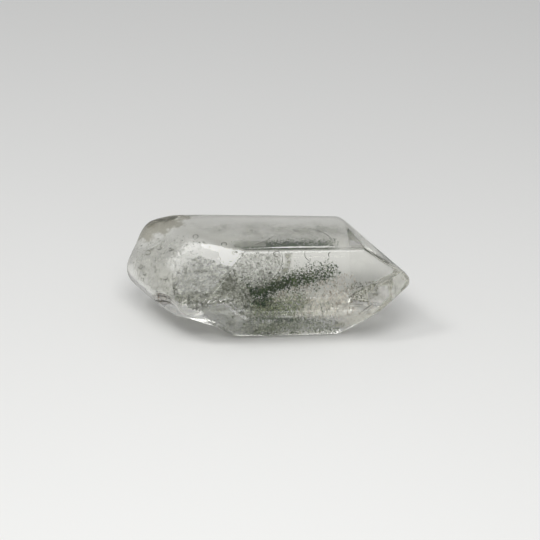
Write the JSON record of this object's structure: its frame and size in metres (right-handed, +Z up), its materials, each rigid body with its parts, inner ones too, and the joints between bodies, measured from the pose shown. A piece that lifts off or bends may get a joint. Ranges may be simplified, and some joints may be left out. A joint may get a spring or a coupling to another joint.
{
  "type": "quartz point",
  "caption": "Clear quartz crystal lying on one of its long faces, with a pointed end, a worn broken end and dark green grains inside.",
  "frame": {"origin": "middle of the crystal's box, at the height of the flat face it lies on", "axes": "+X along the crystal towards its point, +Z up out of the flat face it lies on"},
  "size_m": [0.05, 0.0244, 0.0166],
  "materials": {
    "clear_quartz": "clear natural quartz, smooth worn faces, dark green chlorite grains and faint veils inside"
  },
  "bodies": {
    "root": {"quartz_point": "clear_quartz"}
  },
  "joints": []
}
